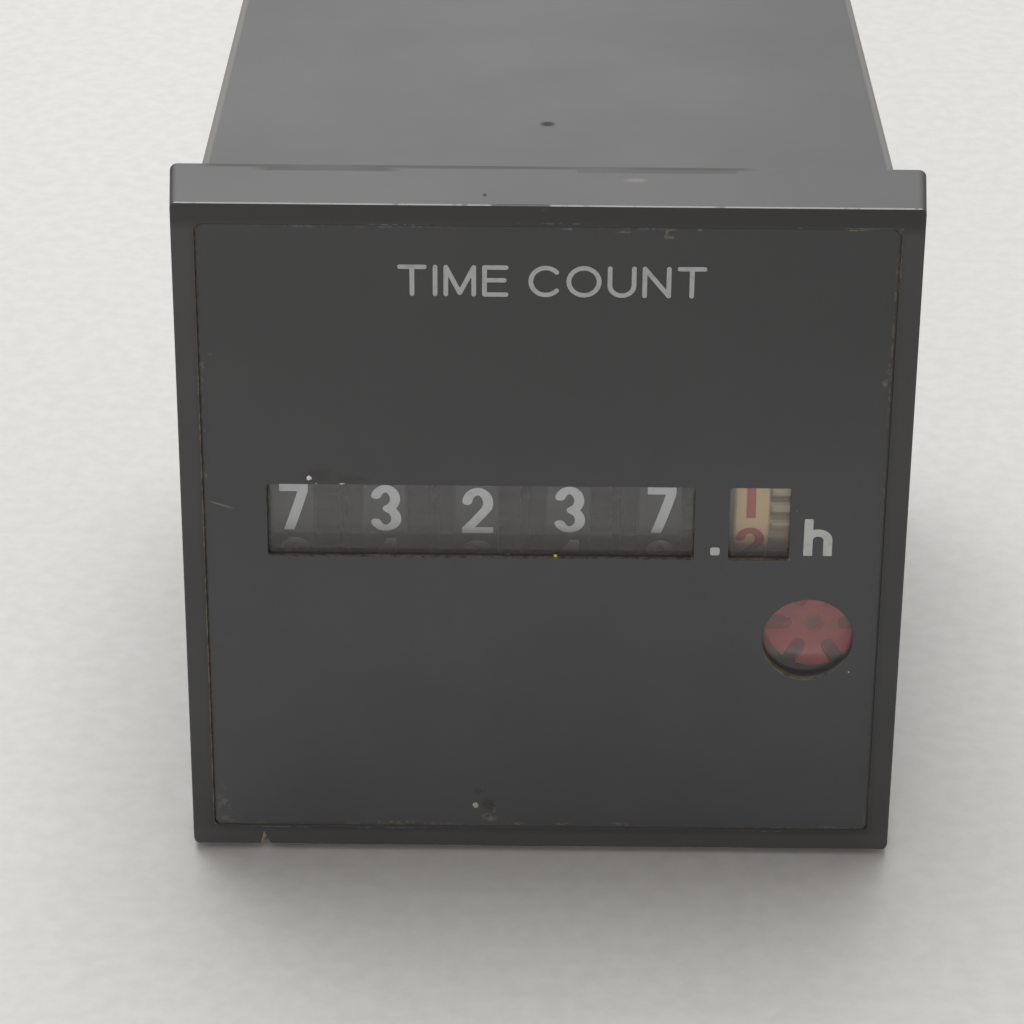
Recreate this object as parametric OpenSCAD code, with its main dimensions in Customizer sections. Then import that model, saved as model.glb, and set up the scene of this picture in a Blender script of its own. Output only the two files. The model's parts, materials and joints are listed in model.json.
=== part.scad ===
// Panel hour meter: a six-wheel counter turned by a synchronous motor through gears and a worm.
// The panel plane is y = 0, the front faces -Y, Z is up, and lengths are in millimetres.

/* [Bezel] */
// Side of the square bezel at the panel
bezel_w = 48; // [47.5:0.1:50]
// Draft of the bezel's sides towards the front
bezel_draft = 0.44; // [0.2:0.02:0.6]
// Depth of the bezel in front of the panel
bezel_t = 5.3; // [5:0.1:7]
// Radius of the bezel's four corners
bezel_r = 0.5; // [0.4:0.1:1.5]
// Chamfer along the bezel's front edges
bezel_edge = 0.08; // [0.05:0.01:0.3]
// Width of the rim round the front plate
rim_w = 1.45; // [1.3:0.05:1.9]
// Depth of the front plate below the rim
plate_drop = 0.2; // [0.1:0.05:0.5]
// Width of the step that carries the front plate
plate_step = 0.4; // [0.3:0.05:0.6]
// Distance of the chipped spot in the bottom rim from the centre line
chip_x = 18.65; // [10:0.05:20]
// Width of the chip along the bottom edge
chip_w = 0.75; // [0.4:0.05:1.5]
// Height of the chip up the rim
chip_h = 1.05; // [0.5:0.05:1.4]
// Depth of the chip along the underside
chip_depth = 1.3; // [0.5:0.1:2]
// Lean of the chip's tip towards the left
chip_lean = 0.14; // [0:0.02:0.3]

/* [Body] */
// Width of the body at the panel
body_w = 45; // [44.8:0.1:45.4]
// Width of the body at its rear end
body_rear_w = 44.1; // [43.8:0.1:44.8]
// Length of the body behind the panel
body_l = 50.5; // [48:0.5:60]
// Radius of the body's long edges
body_r = 0.75; // [0.4:0.05:1.2]
// Wall of the body
wall = 1.6; // [1.5:0.05:1.7]
// Side of the square screw bosses in the corners
boss_w = 6.4; // [5.6:0.1:7]
// Length of the rear screw bosses
rear_boss_l = 8; // [6:0.5:9]
// Height of the toothed clamp rails in the two sides
rail_h = 9; // [6:0.5:12]
// Depth of the clamp rails in the wall
rail_depth = 0.7; // [0.4:0.05:0.8]
// Pitch of the clamp rail teeth
rail_pitch = 2; // [1.5:0.1:3]
// Number of clamp rail teeth
rail_teeth = 14; // [8:1:16]
// Distance of the clamp rails' first tooth from the panel
rail_start = 10; // [6:0.5:14]

/* [Front plate and pane] */
// Thickness of the front plate
plate_t = 0.65; // [0.5:0.05:1.4]
// Radius of the front plate's corners
plate_r = 0.5; // [0.2:0.1:1]
// Thickness of the clear pane
pane_t = 1; // [0.6:0.05:1.2]
// Height of the two number windows
window_h = 5.3; // [4.4:0.05:5.5]
// Rise of the number windows' centre above the wheel axis
window_rise = 0.27; // [0:0.01:0.8]
// Radius of the number windows' corners
window_r = 0.2; // [0.1:0.05:0.5]
// Reach of the main window past the first wheel's centre
main_window_left = 1.52; // [1.4:0.02:2]
// Reach of the main window past the fifth wheel's centre
main_window_right = 2.16; // [1.4:0.02:2.4]
// Reach of the tenths window to the left of its wheel's centre
tenths_window_left = 1.64; // [1.4:0.02:1.9]
// Reach of the tenths window to the right of its wheel's centre
tenths_window_right = 2.34; // [2:0.02:3]
// Diameter of the round indicator window
indicator_window_d = 6; // [5:0.1:6.4]
// Offset of the indicator window from its shaft towards the middle
indicator_window_dx = 0.58; // [0:0.02:0.8]
// Drop of the indicator window below its shaft
indicator_window_drop = 0.08; // [0:0.02:0.3]

/* [Counter] */
// Radius of the number wheels
wheel_r = 6.6; // [6.58:0.02:7]
// Width of the number band on each number wheel
band_w = 2.95; // [2.4:0.05:3.1]
// Width of the number band on the tenths wheel
tenths_band_w = 2.36; // [2:0.02:2.9]
// Chamfer of the number band's edges
band_edge = 0.12; // [0.05:0.01:0.2]
// Distance of the leftmost wheel's centre from the cavity's side
first_inset = 4.18; // [4:0.01:4.6]
// Distance of the tenths wheel's centre from the worm axis
tenths_inset = 4.4; // [4.2:0.05:4.8]
// Height of the wheel axis above the centre
wheel_z = 0.93; // [0.5:0.01:1.4]
// Radius of the wheel shaft
wheel_shaft_r = 1.25; // [1:0.05:1.5]
// Radius of the wheels' hubs
hub_r = 2.2; // [2:0.1:2.6]
// Gap between a wheel's transfer gear and the next wheel's carry disc
wheel_room = 0.68; // [0.5:0.02:0.8]
// Module of the transfer gears
transfer_m = 0.55; // [0.55:0.005:0.57]
// Width of the carry disc on each wheel
carry_w = 1; // [0.8:0.05:1.1]
// Radius of the carry disc
carry_r = 5; // [4.5:0.1:5.2]
// Radius of the pinion shaft
pinion_shaft_r = 0.6; // [0.5:0.02:0.62]
// Radius of the transfer pinions' plain collar
collar_r = 1.4; // [1.2:0.05:1.5]
// Direction from the wheel axis to the pinion axis, up from straight back
pinion_dir = 45; // [40:1:55]
// Thickness of the counter frame's sheet
frame_t = 0.7; // [0.5:0.05:0.8]

/* [Worm drive] */
// Distance of the worm axis from the cavity's side
worm_inset = 2.63; // [2.5:0.01:2.9]
// Pitch radius of the worm
worm_pitch_r = 1.935; // [1.7:0.005:2]
// Module of the worm and its wheel
worm_m = 0.39; // [0.37:0.005:0.39]
// Teeth of the worm wheel on the tenths wheel
worm_wheel_teeth = 32; // [30:2:32]
// Radius of the worm shaft
worm_shaft_r = 0.75; // [0.7:0.05:0.9]
// Radius of the worm shaft's front journal
journal_r = 0.6; // [0.5:0.05:0.65]
// Thickness of the housing lug that carries the journal
lug_t = 1.6; // [1.2:0.1:1.8]
// Radius of the lug round the journal
lug_r = 1.75; // [1.5:0.05:1.8]
// Radius of the indicator star
indicator_r = 3.24; // [3:0.02:3.4]
// Thickness of the indicator star
indicator_t = 0.8; // [0.6:0.05:1]
// Radius of the indicator's hub behind the star
indicator_hub_r = 1.1; // [1:0.02:1.2]
// Length of the indicator's hub behind the star
indicator_hub_l = 1; // [0.6:0.1:1.2]
// Radius of the round notches between the star's points
notch_r = 0.5; // [0.4:0.05:1]
// Depth of the notches, as the radius that they leave
notch_root_r = 1.5; // [1.2:0.02:1.8]

/* [Gear train] */
// Module of the reduction gears
train_m = 0.3; // [0.29:0.005:0.305]
// Width of the reduction gears
gear_w = 1.2; // [1:0.05:1.4]
// Gap between neighbouring gear levels
level_gap = 0.6; // [0.4:0.05:1]
// Gap between the gears and the plates
plate_room = 0.7; // [0.5:0.05:1.5]
// Radius of the gear pins
pin_r = 0.5; // [0.4:0.02:0.6]
// Direction from the worm shaft to the fourth gear
gear_4_dir = 180; // [176:1:184]
// Direction from the fourth gear to the third
gear_3_dir = 188; // [184:1:192]
// Direction from the third gear to the second
gear_2_dir = 193; // [189:1:197]
// Direction from the second gear to the first
gear_1_dir = 104; // [100:1:108]
// Direction from the first gear to the rotor
rotor_dir = 28; // [24:1:32]
// Outer radius of the spacers between the plates
spacer_r = 2; // [1.8:0.1:2.4]
// Radius of the movement screws' shank
screw_r = 1; // [0.8:0.05:1.1]
// Radius of the movement screws' head
screw_head_r = 1.9; // [1.7:0.05:2.2]
// Height of the movement screws' head
screw_head_h = 1.3; // [1:0.1:1.6]
// Length of movement screw in the housing boss
screw_grip = 7; // [5:0.5:9]

/* [Motor] */
// Thickness of the motor's front plate
motor_plate_t = 1.2; // [1:0.1:1.5]
// Least distance of the motor cup from the cavity's sides
cup_room = 2.6; // [2:0.1:4.5]
// Length of the motor cup
cup_l = 13; // [12:0.5:15]
// Sheet thickness of the motor cup
cup_t = 0.9; // [0.7:0.05:1.2]
// Radius of the rotor magnet
magnet_r = 6; // [5:0.1:6.4]
// Radius of the hub that carries the magnet
magnet_hub_r = 2.1; // [1.6:0.1:3]
// Air gap between magnet and poles
air_gap = 0.4; // [0.25:0.05:0.6]
// Number of poles
pole_count = 24; // [16:4:24]
// Share of the circle that the poles fill
pole_share = 0.6; // [0.4:0.05:0.7]
// Wall of the coil bobbin
bobbin_t = 0.9; // [0.7:0.05:1.2]
// Gap between the bobbin and the cup round it
cup_gap = 1.4; // [0.6:0.1:2]
// Radius of the two coil leads
lead_r = 0.6; // [0.4:0.05:0.8]

/* [Rear] */
// Thickness of the rear cover's flange
cover_t = 2; // [1.6:0.1:3]
// Depth of the rear cover's plug in the body
plug_l = 2.5; // [2:0.1:3]
// Distance between the two terminals
terminal_pitch = 12.6; // [12:0.1:14]
// Drop of the terminal screws below the centre
terminal_drop = 12.5; // [11.5:0.1:13]
// Height of the barriers round the terminals
barrier_h = 7; // [5:0.5:9]
// Thickness of the barriers
barrier_t = 1.8; // [1.4:0.1:2.4]
// Width of a terminal plate
terminal_w = 8; // [7:0.1:9]
// Length of a terminal plate
terminal_l = 9; // [8:0.1:10]
// Thickness of the terminal brass
terminal_t = 1; // [0.8:0.05:1.2]
// Width of a terminal's tail
tail_w = 3; // [2.4:0.1:4]
// Length of a terminal's tail inside the cover
tail_l = 4; // [3:0.1:5]
// Radius of the terminal screws' shank
terminal_screw_r = 1.7; // [1.4:0.05:2]
// Radius of the terminal screws' head
terminal_head_r = 3.2; // [3:0.1:3.5]
// Height of the terminal screws' head
terminal_head_h = 2.2; // [1.8:0.1:2.6]
// Length of the terminal screws under the head
terminal_screw_l = 4.6; // [4:0.1:5]
// Width of the slots in all screw heads
slot_w = 0.7; // [0.4:0.05:0.9]
// Depth of the slots in all screw heads
slot_depth = 0.7; // [0.4:0.05:0.9]

/* [Fits] */
// Radial clearance of what turns on a pin or shaft
run_clear = 0.06; // [0.04:0.01:0.09]
// Radial clearance of fixed pins, shafts and screws in their holes
seat_clear = 0.03; // [0.02:0.01:0.06]
// Side gap round the front plate, the pane and the rear cover
side_gap = 0.1; // [0.05:0.01:0.15]
// End gap of what turns
end_gap = 0.15; // [0.1:0.01:0.2]
// Gap in front of the wheels and the indicator
front_gap = 0.55; // [0.25:0.05:0.7]
// Tooth play of the gears at the pitch circle
tooth_play = 0.12; // [0.08:0.01:0.15]
// Gap between the long pinion leaves and the carry disc
carry_gap = 0.2; // [0.15:0.01:0.3]

/* [Hidden] */
$fn = 64;

// Overshoot of a cut past the face that it opens
cut = 1;
// Teeth of the gears, as driving and driven counts
leaves = 8;
first_teeth = 40;
second_teeth = 40;
third_teeth = 40;
fourth_teeth = 48;
output_teeth = 28;
worm_gear_teeth = 14;
transfer_teeth = 20;
// Levels of the gear train from the worm gear to the rotor's pinion
levels = 5;
// Wheels to the left of the tenths wheel
number_wheels = 5;
star_points = 6;
// Tooth height above and below the pitch circle, in modules
tooth_head = 0.85;
tooth_foot = 1.15;
// Width of a tooth at its tip, as a share of its width at the pitch circle
tooth_tip = 0.42;
// Width of the worm thread at its foot and of each of its flanks, as shares of the pitch
worm_foot = 0.6;
worm_flank = 0.22;

// Widths across the bezel's front
front_w = bezel_w - 2 * bezel_draft;
recess_w = front_w - 2 * rim_w;
pane_recess_w = recess_w - 2 * plate_step;

// Depth stack of the front
front_y = -bezel_t;
plate_y = front_y + plate_drop;
pane_y = plate_y + plate_t;
behind_pane_y = pane_y + pane_t + front_gap;
wheel_y = behind_pane_y + wheel_r;
lug_y = behind_pane_y + indicator_t + indicator_hub_l + end_gap;

// Worm axis
worm_pitch = PI * worm_m;
worm_wheel_r = worm_m * worm_wheel_teeth / 2;
worm_z = wheel_z - worm_wheel_r - worm_pitch_r;
worm_start_y = lug_y + lug_t + end_gap;
worm_l = 2 * (wheel_y - worm_start_y);

// Pinion axis
pinion_reach = transfer_m * (transfer_teeth + leaves) / 2;
pinion_tip_r = transfer_m * (leaves / 2 + tooth_head);
pinion_y = wheel_y + pinion_reach * cos(pinion_dir);
pinion_z = wheel_z + pinion_reach * sin(pinion_dir);

// Frame and motor plates
web_y = pinion_y + pinion_tip_r + plate_room;
first_level_y = web_y + frame_t + plate_room;
level_pitch = gear_w + level_gap;
motor_plate_y = first_level_y + levels * level_pitch - level_gap + plate_room;
cup_y = motor_plate_y + motor_plate_t;
cup_end_y = cup_y + cup_l;

// Half width of the cavity where it is tightest round the movement
tight = min(half_at(lug_y), half_at(cup_y));
plate_half = tight - side_gap;
cheek_x = plate_half - frame_t;
corner = tight - boss_w / 2;
corners = [for (sx = [-1, 1], sz = [-1, 1]) [sx, sz] * corner];

// Places of the worm and the wheels across the cavity
worm_x = tight - worm_inset;
tenths_x = worm_x - tenths_inset;
wheel_pitch = (tenths_x + tight - first_inset) / number_wheels;
transfer_w = wheel_pitch - band_w - carry_w - wheel_room;

// Rear
cover_y = body_l;
cover_out_y = cover_y + cover_t;
plug_y = cover_y - plug_l;
plug_half = min(half_at(plug_y), half_at(cover_y)) - side_gap;
cover_corner = half_at(cover_y) - boss_w / 2;
cover_corners = [[-1, 1] * cover_corner, [1, -1] * cover_corner];
tail_drop = terminal_drop - terminal_l / 2 + terminal_t / 2;

// Gear centres in the plane across the arbors
worm_c = [worm_x, worm_z];
gear_4_c = worm_c + polar(train_m * (output_teeth + worm_gear_teeth) / 2, gear_4_dir);
gear_3_c = gear_4_c + polar(train_m * (leaves + fourth_teeth) / 2, gear_3_dir);
gear_2_c = gear_3_c + polar(train_m * (leaves + third_teeth) / 2, gear_2_dir);
gear_1_c = gear_2_c + polar(train_m * (leaves + second_teeth) / 2, gear_1_dir);
rotor_c = gear_1_c + polar(train_m * (leaves + first_teeth) / 2, rotor_dir);
gear_centres = [gear_1_c, gear_2_c, gear_3_c, gear_4_c];

// Motor rings, from the rotor out
pole_r = magnet_r + air_gap;
pole_out_r = pole_r + cup_t;
bobbin_r = pole_out_r + side_gap;
winding_r = bobbin_r + bobbin_t;
cup_r = min(half_at(cup_y), half_at(cup_end_y)) - max(abs(rotor_c[0]), abs(rotor_c[1])) - cup_room;
winding_out_r = cup_r - cup_t - cup_gap - bobbin_t;
bobbin_y = cup_y + side_gap;
bobbin_l = cup_l - cup_t - side_gap;

function polar(r, a) = [r * cos(a), r * sin(a)];
function outer_at(y) = body_w + (body_rear_w - body_w) * y / body_l;
function half_at(y) = outer_at(y) / 2 - wall;
function wheel_x(k) = tenths_x - k * wheel_pitch;
function band_at(k) = k == 0 ? tenths_band_w : band_w;
function level_y(k) = first_level_y + k * level_pitch;
function root_radius(teeth) = train_m * (teeth / 2 - tooth_foot);
function worm_rise(a) = max(0, min(1, (worm_foot / 2 - abs(a - 180) / 360) / worm_flank));

// Extrudes an outline drawn in x and z, from y0 towards the rear
module slab(y0, w) {
    translate([0, y0 + w, 0]) rotate([90, 0, 0]) linear_extrude(w) children();
}

// Extrudes an outline of width w0 at y0 so that it is w1 wide at y1
module taper(y0, y1, w0, w1) {
    translate([0, y0, 0]) mirror([0, 1, 0]) rotate([90, 0, 0])
        linear_extrude(y1 - y0, scale = w1 / w0) children();
}

// Extrudes an outline drawn in y and z, from x0 towards the right
module side_slab(x0, w) {
    translate([x0, 0, 0]) rotate([90, 0, 90]) linear_extrude(w) children();
}

module rod_y(c, y0, y1, r) {
    translate([c[0], y0, c[1]]) rotate([-90, 0, 0]) cylinder(r = r, h = y1 - y0);
}

module rod_x(y, z, x0, x1, r) {
    translate([x0, y, z]) rotate([0, 90, 0]) cylinder(r = r, h = x1 - x0);
}

module round_square(w, r) {
    for (a = [0, 90]) rotate(a) square([w, w - 2 * r], center = true);
    for (sx = [-1, 1], sy = [-1, 1]) translate([sx, sy] * (w / 2 - r)) circle(r);
}

module window(x0, x1, z0, h) {
    translate([x0, z0 - h / 2 + window_r]) square([x1 - x0, h - 2 * window_r]);
    translate([x0 + window_r, z0 - h / 2]) square([x1 - x0 - 2 * window_r, h]);
    for (x = [x0 + window_r, x1 - window_r], s = [-1, 1])
        translate([x, z0 + s * (h / 2 - window_r)]) circle(window_r);
}

// Flat-topped teeth with radial lower flanks, on a full disc
module gear_outline(teeth, m, phase, shown) {
    pitch_r = m * teeth / 2;
    half = 90 / teeth - tooth_play * 90 / (PI * pitch_r);
    root_r = pitch_r - tooth_foot * m;
    tip_r = pitch_r + tooth_head * m;
    base = root_r - m / 2;
    circle(root_r);
    for (i = [0 : shown - 1]) rotate(phase + i * 360 / teeth) polygon([
        polar(base, -half), polar(pitch_r, -half), polar(tip_r, -half * tooth_tip),
        polar(tip_r, half * tooth_tip), polar(pitch_r, half), polar(base, half)
    ]);
}

module gear_ring(c, teeth, level, phase) {
    slab(level_y(level), gear_w) translate(c) gear_outline(teeth, train_m, phase, teeth);
}

// Wheel with its smaller gear on the level in front of it, on one hub
module compound(c, wheel, level, wheel_phase, small, small_phase) {
    y0 = level_y(level - 1);
    y1 = level_y(level) + gear_w;
    difference() {
        union() {
            gear_ring(c, wheel, level, wheel_phase);
            gear_ring(c, small, level - 1, small_phase);
            rod_y(c, y0, y1, root_radius(small));
        }
        rod_y(c, y0 - cut, y1 + cut, pin_r + run_clear);
    }
}

module slotted_screw(head_r, head_h, shank_r, shank_l) {
    difference() {
        union() {
            cylinder(r = head_r, h = head_h);
            translate([0, 0, -shank_l]) cylinder(r = shank_r, h = shank_l + head_h / 2);
        }
        translate([-head_r - cut, -slot_w / 2, head_h - slot_depth])
            cube([2 * (head_r + cut), slot_w, slot_depth + cut]);
    }
}

module housing_shell() {
    flange_t = -lug_y;
    cavity_front_w = 2 * half_at(lug_y - cut);
    cavity_rear_w = 2 * half_at(body_l + cut);
    difference() {
        union() {
            taper(front_y, 0, front_w, bezel_w) round_square(front_w, bezel_r, $fn = 32);
            taper(-flange_t, body_l, outer_at(-flange_t), body_rear_w)
                round_square(outer_at(-flange_t), body_r, $fn = 32);
        }
        slab(front_y - cut, plate_drop + plate_t + cut) round_square(recess_w, plate_r);
        slab(pane_y - cut, lug_y - pane_y + cut) square(pane_recess_w, center = true);
        rod_y(worm_c, pane_y + pane_t, lug_y, indicator_r + end_gap);
        taper(lug_y - cut, body_l + cut, cavity_front_w, cavity_rear_w) square(cavity_front_w, center = true);
        for (a = [0 : 90 : 270]) rotate([0, a, 0]) translate([0, front_y, front_w / 2]) rotate([45, 0, 0])
            cube([bezel_w, bezel_edge * sqrt(2), bezel_edge * sqrt(2)], center = true);
    }
}

// Square screw bosses that run into the walls of their corners
module bosses(places) {
    for (c = places) translate(c + [sign(c[0]), sign(c[1])] * wall / 4)
        square(boss_w + wall / 2, center = true);
}

// Broken-out notch at the bottom front edge
module chip() {
    over = 0.3;
    tip = [-chip_lean, 0, chip_h];
    back = [0, chip_depth, 0];
    side = [chip_w / 2, 0, 0];
    mid = (tip + back) / 2;
    translate([-chip_x, front_y, -front_w / 2]) polyhedron(
        [
            tip + over * (tip - back), back + over * (back - tip),
            -side - over * (side + mid), side + over * (side - mid)
        ],
        [[0, 2, 1], [0, 1, 3], [1, 2, 3], [0, 3, 2]]
    );
}

// Saw teeth for a panel clamp, cut in the two sides
module clamp_rails() {
    for (turn = [0, 180], i = [0 : rail_teeth - 1]) let (y = rail_start + i * rail_pitch) rotate([0, turn, 0])
        translate([outer_at(y) / 2, y, 0]) linear_extrude(rail_h, center = true)
            polygon([[-rail_depth, 0], [cut, 0], [cut, rail_pitch], [-rail_depth / 4, rail_pitch]]);
}

module housing() {
    color("#3c3c3e") difference() {
        union() {
            housing_shell();
            slab(lug_y, web_y - lug_y) bosses(corners);
            slab(plug_y - rear_boss_l, rear_boss_l) bosses(cover_corners);
            slab(lug_y, lug_t) {
                translate(worm_c) circle(lug_r);
                translate([worm_x, worm_z - lug_r]) square([half_at(0) + wall / 2 - worm_x, 2 * lug_r]);
            }
        }
        for (c = corners) rod_y(c, web_y - screw_grip - cut, web_y + cut, screw_r + seat_clear);
        for (c = cover_corners) rod_y(c, plug_y - rear_boss_l - cut, plug_y + cut, screw_r + seat_clear);
        rod_y(worm_c, lug_y - cut, lug_y + lug_t + cut, journal_r + run_clear);
        clamp_rails();
        chip();
    }
}

module front_plate() {
    window_z = wheel_z + window_rise;
    color("#454546") slab(plate_y, plate_t) difference() {
        round_square(recess_w - 2 * side_gap, plate_r);
        window(wheel_x(number_wheels) - main_window_left, wheel_x(1) + main_window_right, window_z, window_h);
        window(wheel_x(0) - tenths_window_left, wheel_x(0) + tenths_window_right, window_z, window_h);
        translate([worm_x - indicator_window_dx, worm_z - indicator_window_drop])
            circle(d = indicator_window_d);
    }
}

module window_pane() {
    color("#c8d0d4", 0.4) slab(pane_y, pane_t) round_square(pane_recess_w - 2 * side_gap, plate_r);
}

module terminal_places() {
    for (s = [-1, 1]) translate([s * terminal_pitch / 2, cover_out_y, -terminal_drop]) children();
}

module rear_cover() {
    pocket_w = terminal_w + 2 * side_gap;
    pocket_h = terminal_l + 2 * side_gap;
    depth = cover_t + plug_l;
    block = [terminal_pitch + pocket_w + 2 * barrier_t, pocket_h + 2 * barrier_t];
    color("#353537") difference() {
        union() {
            slab(cover_y, cover_t) round_square(body_rear_w - 2 * side_gap, body_r);
            slab(plug_y, plug_l) square(2 * plug_half, center = true);
            slab(cover_out_y, barrier_h) translate([0, -terminal_drop]) square(block, center = true);
        }
        terminal_places() {
            translate([-pocket_w / 2, 0, -pocket_h / 2 - barrier_t - cut])
                cube([pocket_w, barrier_h + cut, pocket_h + barrier_t + cut]);
            rod_y([0, 0], -depth - cut, cut, terminal_screw_r + seat_clear);
            translate([-tail_w / 2 - side_gap, -depth - cut, terminal_l / 2 - terminal_t - side_gap])
                cube([tail_w + 2 * side_gap, depth + 2 * cut, terminal_t + 2 * side_gap]);
        }
        for (c = cover_corners) {
            rod_y(c, plug_y - cut, cover_out_y + cut, screw_r + seat_clear);
            rod_y(c, cover_out_y - screw_head_h, cover_out_y + cut, screw_head_r + side_gap);
        }
    }
}

module cover_screws() {
    shank_l = cover_t + plug_l - screw_head_h + rear_boss_l - cut;
    color("silver") for (c = cover_corners) translate([c[0], cover_out_y - screw_head_h, c[1]])
        rotate([-90, 0, 0]) slotted_screw(screw_head_r, screw_head_h, screw_r, shank_l);
}

module terminals() {
    color("#b9953f") terminal_places() difference() {
        union() {
            translate([-terminal_w / 2, 0, -terminal_l / 2]) cube([terminal_w, terminal_t, terminal_l]);
            translate([-tail_w / 2, -cover_t - plug_l - tail_l, terminal_l / 2 - terminal_t])
                cube([tail_w, cover_t + plug_l + tail_l + terminal_t / 2, terminal_t]);
        }
        rod_y([0, 0], -cut, terminal_t + cut, terminal_screw_r + seat_clear);
    }
}

module terminal_screws() {
    color("silver") terminal_places() translate([0, terminal_t, 0]) rotate([-90, 0, 0])
        slotted_screw(terminal_head_r, terminal_head_h, terminal_screw_r, terminal_screw_l);
}

module cheek_outline() {
    round_r = wheel_shaft_r + 2 * frame_t;
    low = wheel_z - round_r;
    high = pinion_z + round_r;
    translate([wheel_y, wheel_z]) circle(round_r);
    translate([pinion_y, pinion_z]) circle(round_r);
    polygon([[wheel_y, low], [web_y + frame_t / 2, low], [web_y + frame_t / 2, high], [pinion_y, high],
        [wheel_y - round_r * sin(pinion_dir), wheel_z + round_r * cos(pinion_dir)]]);
}

module counter_frame() {
    color("#aeb2b5") difference() {
        union() {
            slab(web_y, frame_t) square(2 * plate_half, center = true);
            side_slab(cheek_x, frame_t) cheek_outline();
            side_slab(-cheek_x - frame_t, frame_t) cheek_outline();
        }
        rod_x(wheel_y, wheel_z, -tight, tight, wheel_shaft_r + seat_clear);
        rod_x(pinion_y, pinion_z, -tight, tight, pinion_shaft_r + seat_clear);
        for (c = concat(gear_centres, [rotor_c]))
            rod_y(c, web_y - cut, web_y + frame_t + cut, pin_r + seat_clear);
        rod_y(worm_c, web_y - cut, web_y + frame_t + cut, worm_shaft_r + run_clear);
        for (c = corners) rod_y(c, web_y - cut, web_y + frame_t + cut, screw_r + seat_clear);
    }
}

module wheel_shaft() {
    color("silver") rod_x(wheel_y, wheel_z, -cheek_x - frame_t, cheek_x + frame_t, wheel_shaft_r);
}

module pinion_shaft() {
    color("silver") rod_x(pinion_y, pinion_z, -cheek_x - frame_t, cheek_x + frame_t, pinion_shaft_r);
}

module gear_pins() {
    color("silver") {
        for (c = gear_centres) rod_y(c, web_y, cup_y, pin_r);
        rod_y(rotor_c, web_y, cup_end_y, pin_r);
    }
}

module spacers() {
    color("#c9b26b") for (c = corners) difference() {
        rod_y(c, web_y + frame_t, motor_plate_y, spacer_r);
        rod_y(c, web_y, motor_plate_y + cut, screw_r + seat_clear);
    }
}

module movement_screws() {
    shank_l = cup_y - web_y + screw_grip;
    color("silver") for (c = corners) translate([c[0], cup_y, c[1]]) rotate([-90, 0, 0])
        slotted_screw(screw_head_r, screw_head_h, screw_r, shank_l);
}

// Every second pole finger, from y0 to y1
module pole_fingers(offset, y0, y1) {
    step = 720 / pole_count;
    span = step / 2 * pole_share;
    for (i = [0 : pole_count / 2 - 1]) translate([rotor_c[0], y1, rotor_c[1]]) rotate([90, 0, 0])
        rotate(offset + i * step - span / 2) rotate_extrude(angle = span)
            translate([pole_r, 0]) square([cup_t, y1 - y0]);
}

module motor_plate() {
    color("#b4b8ba") difference() {
        union() {
            slab(motor_plate_y, motor_plate_t) square(2 * plate_half, center = true);
            pole_fingers(0, motor_plate_y + motor_plate_t / 2, cup_end_y - 2 * cup_t);
        }
        for (c = gear_centres) rod_y(c, motor_plate_y - cut, cup_y + cut, pin_r + seat_clear);
        rod_y(rotor_c, motor_plate_y - cut, cup_y, pole_r - air_gap / 2);
        for (c = corners) rod_y(c, motor_plate_y - cut, cup_y + cut, screw_r + seat_clear);
    }
}

module motor_cup() {
    color("#a9adb0") difference() {
        union() {
            difference() {
                rod_y(rotor_c, cup_y, cup_end_y, cup_r);
                rod_y(rotor_c, cup_y - cut, cup_end_y - cup_t, cup_r - cup_t);
            }
            pole_fingers(360 / pole_count, cup_y + cup_t, cup_end_y - cup_t / 2);
        }
        rod_y(rotor_c, cup_end_y - cup_t - cut, cup_end_y + cut, pin_r + seat_clear);
        lead_places() rod_y([0, 0], cup_end_y - cup_t - cut, cup_end_y + cut, 2 * lead_r);
    }
}

module lead_places() {
    for (s = [-1, 1]) translate([s * terminal_pitch / 2, 0, -tail_drop]) children();
}

module coil_bobbin() {
    color("#d8d4c6") difference() {
        rod_y(rotor_c, bobbin_y, bobbin_y + bobbin_l, winding_out_r + bobbin_t);
        rod_y(rotor_c, bobbin_y - cut, bobbin_y + bobbin_l + cut, bobbin_r);
        difference() {
            rod_y(rotor_c, bobbin_y + bobbin_t, bobbin_y + bobbin_l - bobbin_t, winding_out_r + 2 * bobbin_t);
            rod_y(rotor_c, bobbin_y, bobbin_y + bobbin_l, winding_r);
        }
    }
}

module coil_winding() {
    color("#a5532a") difference() {
        rod_y(rotor_c, bobbin_y + bobbin_t, bobbin_y + bobbin_l - bobbin_t, winding_out_r);
        rod_y(rotor_c, bobbin_y, bobbin_y + bobbin_l, winding_r);
    }
}

module coil_leads() {
    color("#b5322c") lead_places() rod_y([0, 0], bobbin_y + bobbin_l, plug_y - tail_l, lead_r);
}

module rotor_magnet() {
    color("#4a4644") difference() {
        rod_y(rotor_c, cup_y + end_gap, cup_end_y - cup_t - end_gap, magnet_r);
        rod_y(rotor_c, cup_y, cup_end_y, magnet_hub_r + seat_clear);
    }
}

module rotor_hub() {
    color("#e8e6df") difference() {
        union() {
            rod_y(rotor_c, cup_y + end_gap, cup_end_y - cup_t - end_gap, magnet_hub_r);
            rod_y(rotor_c, level_y(levels - 1), cup_y + cut, root_radius(leaves));
            gear_ring(rotor_c, leaves, levels - 1, rotor_dir + 180);
        }
        rod_y(rotor_c, level_y(levels - 1) - cut, cup_end_y, pin_r + run_clear);
    }
}

module gear_1() {
    color("#e8e6df")
        compound(gear_1_c, first_teeth, levels - 1, rotor_dir + 180 / first_teeth, leaves, gear_1_dir + 180);
}

module gear_2() {
    color("#e8e6df")
        compound(gear_2_c, second_teeth, levels - 2, gear_1_dir + 180 / second_teeth, leaves, gear_2_dir + 180);
}

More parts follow.
